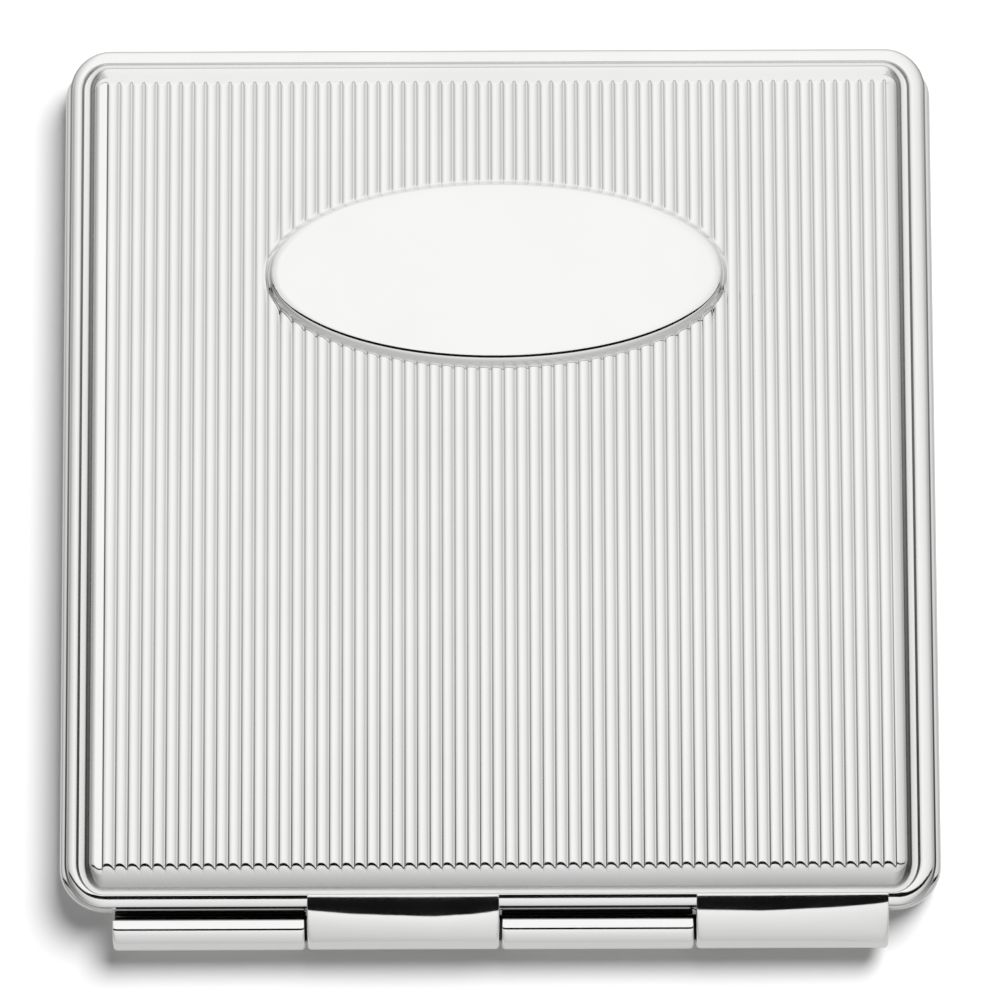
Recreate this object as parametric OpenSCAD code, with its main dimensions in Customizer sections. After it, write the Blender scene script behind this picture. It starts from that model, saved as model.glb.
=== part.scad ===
/* [Case] */
// Width of the closed case, along the hinge
case_w = 65; // [58:0.5:80]
// Depth of the case from its front edge to its back edge, without the hinge
case_d = 65; // [58:0.5:80]
// Radius of the case's corners, seen from above
corner_r = 3.3; // [3.2:0.1:5]
// Thickness of the stamped sheet of both shells
sheet_t = 0.6; // [0.5:0.05:0.65]
// Gap between the lips of the closed case
lip_gap = 0.1; // [0.06:0.02:0.2]

/* [Rim] */
// Height of the middle of the round bead above the lip
rim_h = 1.6; // [1.5:0.05:2]
// Radius of the round bead that runs along the edge
bead_r = 0.72; // [0.65:0.01:0.8]
// Height of the valley inside the bead, above the lip
valley_h = 2; // [1.95:0.05:2.2]
// Distance from the case's edge to the foot of the flank, past the bead and the valley floor
foot_in = 1.88; // [1.7:0.02:1.94]
// Radius and rise of the rounded flank that carries the raised panel
flank_r = 1.2; // [1.15:0.05:1.25]

/* [Ribs] */
// Number of ribs across the raised panel
rib_n = 63; // [41:2:81]
// Width of the groove between two ribs
groove_w = 0.24; // [0.16:0.02:0.34]
// Depth of the groove between two ribs
groove_depth = 0.2; // [0.08:0.02:0.24]

/* [Oval plate] */
// Length of the raised oval, along the hinge
oval_l = 33.3; // [24:0.1:40]
// Width of the raised oval, across the hinge
oval_w = 13; // [9:0.1:18]
// Distance from the case's front edge to the middle of the oval
oval_inset = 17.6; // [14:0.1:24]
// Height of the oval above the ribs
oval_rise = 0.65; // [0.3:0.05:0.9]
// Width of the oval's sloped edge, seen from above
oval_slope = 0.5; // [0.2:0.05:0.8]

/* [Hinge] */
// Distance from the case's sides to the ends of the row of knuckles
hinge_in = 3.85; // [3.6:0.05:8]
// Number of knuckles, which belong in turn to the base and to the lid
knuckle_n = 4; // [4:2:8]
// Gap between two knuckles
knuckle_gap = 0.16; // [0.1:0.02:0.3]
// Outer radius of the rolled knuckles
barrel_r = 1.6; // [1.5:0.05:1.8]
// Distance from the case's back edge to the middle of the hinge pin
hinge_offset = 1.5; // [1.45:0.05:1.7]
// Radius of the hinge pin
pin_r = 0.95; // [0.7:0.01:1]
// Radial running clearance of the pin in the knuckles
pin_clear = 0.05; // [0.02:0.01:0.08]
// Radius of the pin's riveted heads
pin_head_r = 1.25; // [1.1:0.05:1.45]
// Thickness of the pin's riveted heads
pin_head_t = 0.3; // [0.2:0.05:0.5]
// Gap between a knuckle and the notch for it in the other shell
notch_gap = 0.15; // [0.1:0.01:0.2]

/* [Mirrors] */
// Distance from the case's edge to the mirrors' edges
mirror_in = 3.1; // [3.1:0.1:6]
// Radius of the mirrors' corners
mirror_corner_r = 1.5; // [0.5:0.1:3]
// Thickness of the mirror glass
mirror_t = 1.1; // [0.9:0.05:1.15]
// Radius of curvature of the magnifying mirror in the base
magnify_r = 1500; // [1300:50:3000]
// Thickness of the foam pad behind each mirror
pad_t = 0.5; // [0.3:0.05:0.55]
// Thickness of the backing board behind each pad
board_t = 0.5; // [0.3:0.05:0.55]

/* [Frames] */
// Thickness of the sheet of the bezels and the collar
frame_t = 0.4; // [0.3:0.05:0.45]
// Depth of the bezels' faces below the lips
bezel_drop = 0.05; // [0.02:0.01:0.08]
// How far the bezels cover the edges of the mirrors
bezel_cover = 0.9; // [0.6:0.05:1.4]
// Height of the collar above the base's lip
collar_h = 1.2; // [1.15:0.05:1.3]
// Depth of the collar below the base's lip
collar_depth = 1.2; // [0.8:0.05:1.3]
// Gap between the collar and the walls that it fits into
collar_clear = 0.1; // [0.06:0.01:0.14]
// Distance from the case's back edge at which the collar stops
collar_back = 9; // [7:0.5:14]

/* [Catch] */
// Length of the catch spring along the front edge
catch_l = 16; // [13:0.5:22]
// Height of the catch spring
catch_h = 1; // [0.9:0.05:1.05]
// Thickness of the catch spring
catch_t = 0.25; // [0.15:0.01:0.3]
// How far the nose of the catch spring reaches into the collar's slot
nose_grip = 0.2; // [0.1:0.01:0.24]
// Length of the nose of the catch spring
nose_l = 5; // [4:0.5:7]
// Radius of the rounded nose
nose_r = 0.25; // [0.2:0.01:0.27]
// Height of the middle of the nose above the lid's lip
nose_h = 0.45; // [0.4:0.01:0.5]
// How far the catch spring gives way when the case snaps open
catch_travel = 0.3; // [0.26:0.01:0.36]
// Clearance round the nose in the collar's slot
slot_clear = 0.1; // [0.06:0.01:0.14]
// Radius of the shanks of the two catch rivets
rivet_r = 0.2; // [0.14:0.01:0.22]
// Radius of the rivet heads
rivet_head_r = 0.35; // [0.3:0.01:0.38]
// Thickness of the rivet heads
rivet_head_t = 0.12; // [0.08:0.01:0.15]
// Running clearance round the rivets
rivet_clear = 0.05; // [0.03:0.01:0.06]

/* [Hidden] */
$fn = 64;
// Length by which a cut runs past the face that it opens
over = 0.5;

// Distance in from the case's edge to the start of the flat panel
panel_in = foot_in + flank_r;
// Height of the ribs' crests above the lip
panel_h = valley_h + flank_r;
// Corner of the flat panel, and how far the rim's section reaches into the panel
panel_r = corner_r - panel_in;
panel_lap = panel_r / 2;
// Underside of the valley floor, where the bezels stand
ceiling_h = valley_h - sheet_t;

// Grooves run over the whole field, from the first plain strip to the last
rib_field = case_w - 2 * (panel_in + groove_w);
rib_pitch = rib_field / rib_n;

// The whole object, hinge and all, stands centred on the origin
case_y = (hinge_offset + barrel_r) / 2;
base_lip_z = panel_h;
lid_lip_z = panel_h + lip_gap;
// The hinge axis, measured from either shell's middle and lip
axis_y = -case_d / 2 - hinge_offset;
axis_h = -lip_gap / 2;
hinge_l = case_w - 2 * hinge_in;
knuckle_l = (hinge_l - (knuckle_n - 1) * knuckle_gap) / knuckle_n;
// The sheet that joins a knuckle to its shell ends at this share of the knuckle's radius
web_share = 0.8;
// Gap between the pin's heads and the outer knuckles
head_gap = pin_clear;

// Heights of the pile behind a bezel's face, above the lip
glass_h = bezel_drop + frame_t;
pad_h = glass_h + mirror_t;
board_h = pad_h + pad_t;
// The hollow of the magnifying mirror, at its corners and in steps along its radius
mirror_w = case_w - 2 * mirror_in;
mirror_d = case_d - 2 * mirror_in;
mirror_reach = norm([mirror_w, mirror_d]) / 2;
mirror_sag = mirror_reach * mirror_reach / (2 * magnify_r);
sag_steps = 10;

// The collar and the base's bezel, measured in from the case's edge
collar_in = sheet_t + collar_clear;
collar_end = collar_in + frame_t;
base_bezel_in = collar_end + collar_clear;

// The catch spring stands between the collar and the lid's bezel, with room to give way
catch_in = base_bezel_in + rivet_head_t + rivet_clear;
bezel_wall_in = catch_in + catch_t + catch_travel + rivet_clear;
// The catch: its spring's lower edge, its rivets and the tip of its nose
catch_low = nose_h - nose_r;
rivet_h = glass_h + rivet_head_r + rivet_clear;
rivet_x = catch_l / 2 - 4 * rivet_head_r;
nose_tip_in = collar_end - nose_grip;
slot_h = 2 * (nose_r + slot_clear);
slot_w = nose_l + 2 * slot_clear;

silver = "#cfd1d3";
steel = "#b8babd";
glass = "#dfe8ea";
foam = "#f1efe9";
board = "#8f8c86";

// Puts a half's piece into the lid: its lip is at height 0 and its panel lies above
module in_lid() {
    translate([0, case_y, lid_lip_z]) children();
}

// Puts a half's piece into the base, upside down
module in_base() {
    translate([0, case_y, base_lip_z]) mirror([0, 0, 1]) children();
}

// Rectangle with round corners, centred
module rounded(w, d, r) {
    square([w, d - 2 * r], center = true);
    square([w - 2 * r, d], center = true);
    for (sx = [-1, 1]) {
        for (sy = [-1, 1]) {
            translate([sx * (w / 2 - r), sy * (d / 2 - r)]) circle(r);
        }
    }
}

// Plate with the case's outline, moved in from the case's edge
module inset_plate(inset, h) {
    linear_extrude(h) rounded(case_w - 2 * inset, case_d - 2 * inset, corner_r - inset);
}

// Wall with the case's outline, from one distance in from the edge to another
module inset_wall(from, to, h) {
    difference() {
        inset_plate(from, h);
        translate([0, 0, -over]) inset_plate(to, h + 2 * over);
    }
}

// Plate with the mirrors' outline, shrunk at its edge
module mirror_plate(shrink, h) {
    linear_extrude(h) rounded(mirror_w - 2 * shrink, mirror_d - 2 * shrink, mirror_corner_r);
}

// Upper half of a disc
module dome(r) {
    intersection() {
        circle(r);
        translate([-r - over, 0]) square([2 * (r + over), r + over]);
    }
}

// Cross-section of the rim: distance out from the corner's middle, then height above the lip
module rim_profile() {
    translate([corner_r, 0]) difference() {
        union() {
            translate([-panel_in - panel_lap, 0]) square([panel_in + panel_lap, rim_h]);
            translate([-panel_in - panel_lap, 0]) square([panel_in + panel_lap - bead_r, valley_h]);
            translate([-panel_in - panel_lap, 0]) square([panel_lap, panel_h]);
            translate([-bead_r, rim_h]) dome(bead_r);
            intersection() {
                translate([-panel_in, valley_h]) dome(flank_r);
                translate([-panel_in, 0]) square([flank_r + over, panel_h + over]);
            }
        }
        translate([-panel_in - over, -over]) square([panel_in - sheet_t + over, ceiling_h + over]);
        translate([-panel_in - over, 0]) square([flank_r - sheet_t + over, valley_h]);
        translate([-panel_in - over, 0]) square([over, panel_h - sheet_t]);
        translate([-panel_in, valley_h]) dome(flank_r - sheet_t);
    }
}

// Carries the rim's cross-section along the four sides and round the four corners
module rim() {
    mid_x = case_w / 2 - corner_r;
    mid_y = case_d / 2 - corner_r;
    for (side = [0, 1]) {
        mirror([side, 0, 0]) translate([mid_x, 0, 0]) rotate([90, 0, 0]) {
            linear_extrude(2 * mid_y, center = true) rim_profile();
        }
        mirror([0, side, 0]) translate([0, mid_y, 0]) rotate([90, 0, 90]) {
            linear_extrude(2 * mid_x, center = true) rim_profile();
        }
        for (corner = [0, 1]) {
            mirror([side, 0, 0]) mirror([0, corner, 0]) translate([mid_x, mid_y, 0]) {
                rotate_extrude(angle = 90) rim_profile();
            }
        }
    }
}

// Grooves along the whole panel, which run out over its rounded flanks
module grooves() {
    for (i = [0 : rib_n]) {
        translate([(i - rib_n / 2) * rib_pitch, 0, panel_h]) rotate([90, 0, 0]) {
            linear_extrude(case_d, center = true) polygon([
                [-groove_w / 2, over], [-groove_w / 2, 0], [0, -groove_depth],
                [groove_w / 2, 0], [groove_w / 2, over]
            ]);
        }
    }
}

// Stamped half of the case, with its ribs, before the hinge is cut and rolled
module half_shell() {
    difference() {
        union() {
            rim();
            translate([0, 0, panel_h - sheet_t]) inset_plate(panel_in, sheet_t);
        }
        grooves();
    }
}

// Block along the hinge axis at one knuckle's place, round the axis
module knuckle_rod(index, r, spare) {
    start = -hinge_l / 2 + index * (knuckle_l + knuckle_gap);
    translate([start - spare, axis_y, axis_h]) rotate([0, 90, 0]) {
        cylinder(r = r, h = knuckle_l + 2 * spare);
    }
}

// The sheet that runs from the shell's wall onto one knuckle
module knuckle_web(index) {
    start = -hinge_l / 2 + index * (knuckle_l + knuckle_gap);
    translate([start, axis_y, 0]) {
        cube([knuckle_l, hinge_offset + sheet_t / 2, barrel_r * web_share + axis_h]);
    }
}

// Shell with its own knuckles, and notches for those of the other shell
module hinged_shell(first) {
    difference() {
        union() {
            difference() {
                half_shell();
                for (i = [1 - first : 2 : knuckle_n - 1]) {
                    knuckle_rod(i, barrel_r + notch_gap, knuckle_gap);
                }
            }
            for (i = [first : 2 : knuckle_n - 1]) {
                knuckle_rod(i, barrel_r, 0);
                knuckle_web(i);
            }
        }
        translate([-hinge_l / 2 - over, axis_y, axis_h]) rotate([0, 90, 0]) {
            cylinder(r = pin_r + pin_clear, h = hinge_l + 2 * over);
        }
    }
}

module base_shell() {
    color(silver) in_base() hinged_shell(0);
}

// Raised plain oval with a sloped edge
module oval_plate() {
    foot = panel_h - groove_depth;
    rise = oval_rise + groove_depth;
    translate([0, case_d / 2 - oval_inset, foot]) hull() {
        linear_extrude(groove_depth) scale([oval_l / 2 + oval_slope, oval_w / 2 + oval_slope]) {
            circle(1, $fn = 48);
        }
        linear_extrude(rise) scale([oval_l / 2, oval_w / 2]) circle(1, $fn = 48);
    }
}

module lid_shell() {
    color(silver) in_lid() {
        hinged_shell(1);
        oval_plate();
    }
}

// Strip inside the base's lip that the lid's lip slips over
module base_collar() {
    slot_z = nose_h + lip_gap;
    color(silver) translate([0, case_y, base_lip_z]) difference() {
        translate([0, 0, -collar_depth]) inset_wall(collar_in, collar_end, collar_depth + collar_h);
        translate([-case_w / 2, -case_d / 2, -collar_depth - over]) {
            cube([case_w, collar_back, collar_depth + collar_h + 2 * over]);
        }
        translate([-slot_w / 2, case_d / 2 - collar_end - over, slot_z - slot_h / 2]) {
            cube([slot_w, frame_t + 2 * over, slot_h]);
        }
    }
}

// Frame round a mirror: a flat face with an opening, on a wall that stands on the shell's valley
module bezel(face_in) {
    difference() {
        union() {
            translate([0, 0, bezel_drop]) inset_plate(face_in, frame_t);
            translate([0, 0, bezel_drop]) {
                inset_wall(bezel_wall_in, bezel_wall_in + frame_t, ceiling_h - bezel_drop);
            }
        }
        translate([0, 0, -over]) {
            mirror_plate(bezel_cover, glass_h + 2 * over);
        }
    }
}

module base_bezel() {
    color(silver) in_base() bezel(base_bezel_in);
}

module lid_bezel() {
    color(silver) in_lid() difference() {
        bezel(bezel_wall_in);
        rivet_rods(rivet_r + rivet_clear, catch_in, bezel_wall_in + frame_t + over);
    }
}

// Hollow of the magnifying mirror, a shallow bowl cut from the glass's face
module magnifying_hollow() {
    curve = [
        for (k = [0 : sag_steps])
            let (r = mirror_reach * k / sag_steps)
                [r, mirror_sag - r * r / (2 * magnify_r)]
    ];
    rotate_extrude() polygon(concat([[0, -over]], curve, [[mirror_reach, -over]]));
}

module base_mirror() {
    color(glass) in_base() translate([0, 0, glass_h]) difference() {
        mirror_plate(0, mirror_t);
        magnifying_hollow();
    }
}

module lid_mirror() {
    color(glass) in_lid() translate([0, 0, glass_h]) mirror_plate(0, mirror_t);
}

// Foam pad behind a mirror
module pad() {
    translate([0, 0, pad_h]) mirror_plate(pad_t, pad_t);
}

module base_pad() {
    color(foam) in_base() pad();
}

module lid_pad() {
    color(foam) in_lid() pad();
}

// Board between a pad and the shell's panel
module backing() {
    translate([0, 0, board_h]) mirror_plate(pad_t, board_t);
}

module base_board() {
    color(board) in_base() backing();
}

module lid_board() {
    color(board) in_lid() backing();
}

module hinge_pin() {
    color(steel) translate([0, case_y + axis_y, base_lip_z - axis_h]) rotate([0, 90, 0]) {
        cylinder(r = pin_r, h = hinge_l + 2 * head_gap, center = true);
        for (side = [0, 1]) {
            mirror([0, 0, side]) translate([0, 0, hinge_l / 2 + head_gap]) {
                cylinder(r = pin_head_r, h = pin_head_t);
            }
        }
    }
}

// Two rods across the lid's front, from one distance in from the edge to another
module rivet_rods(r, from, to) {
    for (side = [-1, 1]) {
        translate([side * rivet_x, case_d / 2 - from, rivet_h]) rotate([90, 0, 0]) {
            cylinder(r = r, h = to - from);
        }
    }
}

// Leaf spring on the lid whose rounded nose snaps into the collar's slot
module catch_spring() {
    color(steel) in_lid() difference() {
        translate([0, case_d / 2, 0]) {
            translate([-catch_l / 2, -catch_in - catch_t, catch_low]) {
                cube([catch_l, catch_t, catch_h]);
            }
            translate([-nose_l / 2, -catch_in - catch_t / 2, nose_h - nose_r]) {
                cube([nose_l, catch_in - nose_tip_in - nose_r + catch_t / 2, 2 * nose_r]);
            }
            translate([-nose_l / 2, -nose_tip_in - nose_r, nose_h]) rotate([0, 90, 0]) {
                cylinder(r = nose_r, h = nose_l);
            }
        }
        rivet_rods(rivet_r + rivet_clear, catch_in - over, catch_in + catch_t + over);
    }
}

// Rivets that hold the catch spring on the lid's bezel, with a head at both ends
module catch_rivets() {
    outer = catch_in - rivet_clear - rivet_head_t;
    inner = bezel_wall_in + frame_t;
    color(steel) in_lid() {
        rivet_rods(rivet_r, outer, inner + rivet_head_t);
        rivet_rods(rivet_head_r, outer, outer + rivet_head_t);
        rivet_rods(rivet_head_r, inner, inner + rivet_head_t);
    }
}

base_shell();
base_collar();
base_bezel();
base_mirror();
base_pad();
base_board();
hinge_pin();
lid_shell();
lid_bezel();
lid_mirror();
lid_pad();
lid_board();
catch_spring();
catch_rivets();
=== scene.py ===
import math

import bpy
import numpy as np
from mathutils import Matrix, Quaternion, Vector


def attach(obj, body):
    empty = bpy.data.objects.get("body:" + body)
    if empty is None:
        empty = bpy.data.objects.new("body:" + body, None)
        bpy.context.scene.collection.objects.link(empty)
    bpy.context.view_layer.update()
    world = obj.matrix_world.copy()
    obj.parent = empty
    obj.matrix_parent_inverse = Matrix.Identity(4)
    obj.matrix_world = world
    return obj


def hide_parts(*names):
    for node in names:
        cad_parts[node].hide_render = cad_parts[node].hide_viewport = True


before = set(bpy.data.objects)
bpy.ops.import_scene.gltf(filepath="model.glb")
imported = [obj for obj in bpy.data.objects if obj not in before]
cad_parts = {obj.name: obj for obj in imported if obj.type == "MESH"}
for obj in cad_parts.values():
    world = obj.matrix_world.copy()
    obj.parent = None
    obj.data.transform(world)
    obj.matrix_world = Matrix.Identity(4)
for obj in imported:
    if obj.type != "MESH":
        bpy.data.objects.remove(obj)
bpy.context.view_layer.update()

# The table, the light and the view. The compact lies shut on a white table in a light tent, hinge towards
# the viewer. A soft lamp stands at the upper right; the tent is what the silver mirrors.
MM = 0.001
VIEW_TILT = math.radians(11.46)
VIEW_ROLL = math.radians(-0.20)
VIEW_DISTANCE = 567.0
LOOK_AT = (0.0, 1.55, 3.3)
FOCAL_PIXELS = 7572.0
PICTURE = 1000.0
SENSOR = 36.0
CENTRE_X, CENTRE_Y = 499.0, 477.2


def shader_nodes(tree):
    """Empties a node tree and gives back a short call that adds a node of a kind, with its settings."""
    tree.nodes.clear()

    def add(kind, inputs=(), **settings):
        node = tree.nodes.new(kind)
        for name, value in settings.items():
            setattr(node, name, value)
        for name, value in dict(inputs).items():
            if isinstance(value, bpy.types.NodeSocket):
                tree.links.new(value, node.inputs[name])
            else:
                node.inputs[name].default_value = value
        return node

    return add


def new_material(name):
    """A material with no nodes yet, and the call that adds them."""
    material = bpy.data.materials.new(name)
    material.use_nodes = True
    return material, shader_nodes(material.node_tree)


def stepped(add, value, stops):
    """A colour ramp: value runs along the stops, each a place and a grey or a colour."""
    node = add("ShaderNodeValToRGB", {0: value})
    ramp = node.color_ramp
    while len(ramp.elements) < len(stops):
        ramp.elements.new(0.5)
    for element, (place, shade) in zip(ramp.elements, stops):
        element.position = place
        element.color = (shade, shade, shade, 1) if isinstance(shade, float) else (*shade, 1)
    return node.outputs["Color"]


scene = bpy.context.scene
lens = bpy.data.cameras.new("view")
lens.sensor_width = SENSOR
lens.lens = SENSOR * FOCAL_PIXELS / PICTURE
lens.shift_x = (PICTURE / 2 - CENTRE_X) / PICTURE
lens.shift_y = (CENTRE_Y - PICTURE / 2) / PICTURE
lens.clip_start = 0.01
lens.clip_end = 20.0
eye = bpy.data.objects.new("view", lens)
scene.collection.objects.link(eye)
eye.rotation_mode = "QUATERNION"
eye.rotation_quaternion = Quaternion((1, 0, 0), VIEW_TILT) @ Quaternion((0, 0, 1), VIEW_ROLL)
eye.location = (
    LOOK_AT[0] * MM,
    (LOOK_AT[1] - VIEW_DISTANCE * math.sin(VIEW_TILT)) * MM,
    (LOOK_AT[2] + VIEW_DISTANCE * math.cos(VIEW_TILT)) * MM,
)
scene.camera = eye

world = bpy.data.worlds.new("light tent")
scene.world = world
world.use_nodes = True
add = shader_nodes(world.node_tree)
ray = add("ShaderNodeTexCoord").outputs["Generated"]


def lobe(towards, stops):
    """A grey that changes with how close a direction of the tent is to the given one, along the stops."""
    close = add("ShaderNodeVectorMath", {0: ray, 1: Vector(towards).normalized()}, operation="DOT_PRODUCT")
    return stepped(add, close.outputs["Value"], stops)


def times(a, b):
    """Two greys multiplied."""
    node = add("ShaderNodeMix", {0: 1.0, 6: a, 7: b}, data_type="RGBA", blend_type="MULTIPLY")
    return node.outputs[2]


TENT_LIGHT, TENT_DIM, TENT_SEEN = 1.09, 0.22, 1.0
overhead = lobe((0, 0, 1), ((0.0, 0.90), (0.30, 0.96), (0.70, 0.99), (1.0, 1.0)))
to_viewer = lobe((0, -1, 0), (
    (0.0, 1.0), (0.24, 0.96), (0.40, 0.90), (0.62, 0.84), (0.90, 0.79), (1.0, 0.75),
))
to_left = lobe((-1, -0.2, 0), (
    (0.0, 0.985), (0.05, 1.0), (0.13, 0.95), (0.32, 0.83), (0.62, 0.71), (0.90, 0.42), (1.0, 0.22),
))
to_right = lobe((1, -0.2, 0), (
    (0.0, 1.0), (0.05, 0.98), (0.16, 0.95), (0.30, 0.90),
    (0.43, 0.85), (0.60, 0.77), (0.82, 0.62), (1.0, 0.42),
))
lit = times(times(overhead, to_viewer), times(to_left, to_right))
light_path = add("ShaderNodeLightPath").outputs
mirrored = add("ShaderNodeBackground", {0: lit, 1: TENT_LIGHT}).outputs[0]
dim = add("ShaderNodeBackground", {0: (1, 1, 1, 1), 1: TENT_DIM}).outputs[0]
white = add("ShaderNodeBackground", {0: (1, 1, 1, 1), 1: TENT_SEEN}).outputs[0]
in_metal = add("ShaderNodeMixShader", {0: light_path["Is Glossy Ray"], 1: dim, 2: mirrored}).outputs[0]
choice = add("ShaderNodeMixShader", {0: light_path["Is Camera Ray"], 1: in_metal, 2: white}).outputs[0]
add("ShaderNodeOutputWorld", {0: choice})

LAMP_PLACE = Vector((0.33, 0.36, 1.0))
LAMP_WIDE, LAMP_WATTS = 0.62, 13.5
lamp = bpy.data.lights.new("window", "AREA")
lamp.shape = "DISK"
lamp.size = LAMP_WIDE
lamp.energy = LAMP_WATTS
window = bpy.data.objects.new("window", lamp)
scene.collection.objects.link(window)
window.location = LAMP_PLACE
window.rotation_mode = "QUATERNION"
window.rotation_quaternion = LAMP_PLACE.to_track_quat("Z", "Y")
window.visible_glossy = False

# the dark gap between the halves of the tent, through which the camera looks down: half its length and
# width, and how far it lies behind the lens, in metres
GAP_LONG, GAP_WIDE, GAP_BEHIND = 1.6, 0.052, 0.004
gap_mesh = bpy.data.meshes.new("tent_gap")
gap_corners = [
    (-GAP_LONG, -GAP_WIDE, GAP_BEHIND), (GAP_LONG, -GAP_WIDE, GAP_BEHIND),
    (GAP_LONG, GAP_WIDE, GAP_BEHIND), (-GAP_LONG, GAP_WIDE, GAP_BEHIND),
]
gap_mesh.from_pydata(gap_corners, [], [[0, 1, 2, 3]])
gap_mesh.transform(eye.matrix_basis)
gap_black, add = new_material("gap black")
unlit = add("ShaderNodeEmission", {0: (0.006, 0.006, 0.006, 1), 1: 1.0}).outputs[0]
add("ShaderNodeOutputMaterial", {0: unlit})
gap_mesh.materials.append(gap_black)
gap = bpy.data.objects.new("tent_gap", gap_mesh)
scene.collection.objects.link(gap)
gap.visible_camera = False
gap.visible_diffuse = False
gap.visible_shadow = False
gap.visible_transmission = False

table_mesh = bpy.data.meshes.new("table")
TABLE = 6.0
corners = [(-TABLE, -TABLE, 0), (TABLE, -TABLE, 0), (TABLE, TABLE, 0), (-TABLE, TABLE, 0)]
table_mesh.from_pydata(corners, [], [[0, 1, 2, 3]])
table_white, add = new_material("table white")
seen = add("ShaderNodeLightPath").outputs["Is Camera Ray"]
paper = add("ShaderNodeBsdfDiffuse", {0: (0.95, 0.95, 0.95, 1)}).outputs[0]
# for every ray but the camera's the table is a darker paper with a painted glow added: it lights the case a
# little as if it were a lamp, and shows in the metal as an even light grey in which its shadow is weak
paper_in_metal = add("ShaderNodeBsdfDiffuse", {0: (0.24, 0.24, 0.24, 1)}).outputs[0]
painted_glow = add("ShaderNodeEmission", {0: (0.97, 0.965, 0.95, 1), 1: 0.42}).outputs[0]
dim_paper_with_painted_glow = add("ShaderNodeAddShader", {0: paper_in_metal, 1: painted_glow}).outputs[0]
shown = add("ShaderNodeMixShader", {0: seen, 1: dim_paper_with_painted_glow, 2: paper}).outputs[0]
add("ShaderNodeOutputMaterial", {0: shown})
table_mesh.materials.append(table_white)
table = bpy.data.objects.new("table", table_mesh)
scene.collection.objects.link(table)
scene.view_settings.view_transform = "Standard"

# Lid stamping: thin brass sheet pressed in one blow, with a bead round the edge, a valley, 63 reeds and a
# plain raised oval, then silver plated and polished. Its second and fourth hinge knuckles are rolled from
# the same sheet.
MIDDLE_Y = 1.55
HALF = 32.5
AXIS_Z = 3.25
AXIS_Y = MIDDLE_Y - HALF - 1.5
PITCH = 0.9288
REEDS = 63
CREST = 6.5
LIP_Z = 3.3
LID_SHIFT = -0.15

# the rim in section on each side: place along the section, distance in from the outline, height, painted
# shade
NEAR_RIM = np.array((
    (0, -0.12, 3.3, 0.6), (0.02, -0.17, 3.34, 0.2), (0.05, -0.2, 3.6, 0), (0.1, -0.15, 4, 0),
    (0.16, -0.04, 4.4, 0.9), (0.2, -0.06, 4.7, 0.7), (0.24, -0.14, 5.1, 0.1), (0.27, -0.17, 5.22, 0),
    (0.29, -0.176, 5.3, 0), (0.31, -0.168, 5.36, 0), (0.33, -0.145, 5.4, 0), (0.36, -0.1, 5.438, 0),
    (0.39, -0.02, 5.476, 0), (0.42, 0.08, 5.512, 0), (0.45, 0.2, 5.549, 0), (0.48, 0.32, 5.5755, 0),
    (0.52, 0.42, 5.5938, 0), (0.55, 0.52, 5.6104, 0), (0.58, 0.6, 5.6226, 0), (0.6, 0.65, 5.6298, 0),
    (0.62, 0.668, 5.628, 0), (0.64, 0.682, 5.59, 0.05), (0.67, 0.692, 5.49, 0.15), (0.7, 0.7, 5.4, 0.2),
    (0.73, 0.712, 5.325, 0.2), (0.76, 0.735, 5.275, 0.14), (0.79, 0.77, 5.256, 0.11),
    (0.82, 0.83, 5.25, 0.11), (0.88, 0.95, 5.25, 0.11), (0.92, 1.05, 5.25, 0.11),
    (0.95, 1.09, 5.257, 0.13), (0.98, 1.12, 5.285, 0.15), (1, 1.16, 5.352, 0.17),
))
FAR_RIM = np.array((
    (0, 0.1, 3.3, 0.5), (0.05, 0.03, 3.45, 0.3), (0.16, 0, 4.3, 0.2), (0.24, 0, 4.95, 0.1),
    (0.27, 0.003, 5.1, 0), (0.29, 0.012, 5.19, 0), (0.31, 0.03, 5.28, 0), (0.33, 0.07, 5.37, 0),
    (0.36, 0.13, 5.455, 0), (0.39, 0.22, 5.53, 0), (0.42, 0.32, 5.585, 0), (0.45, 0.44, 5.612, 0),
    (0.48, 0.57, 5.622, 0), (0.52, 0.72, 5.628, 0), (0.55, 0.86, 5.629, 0), (0.58, 0.97, 5.627, 0),
    (0.6, 1.02, 5.62, 0), (0.62, 1.045, 5.61, 0), (0.64, 1.065, 5.595, 0), (0.67, 1.085, 5.57, 0.1),
    (0.7, 1.1, 5.545, 0.12), (0.73, 1.115, 5.525, 0.1), (0.76, 1.135, 5.51, 0.1),
    (0.79, 1.16, 5.502, 0.1), (0.82, 1.19, 5.5, 0.1), (0.88, 1.26, 5.5, 0.1), (0.92, 1.32, 5.5, 0.1),
    (0.95, 1.37, 5.5, 0.25), (0.98, 1.4, 5.501, 0.5), (1, 1.44, 5.505, 0.1),
))
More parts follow.
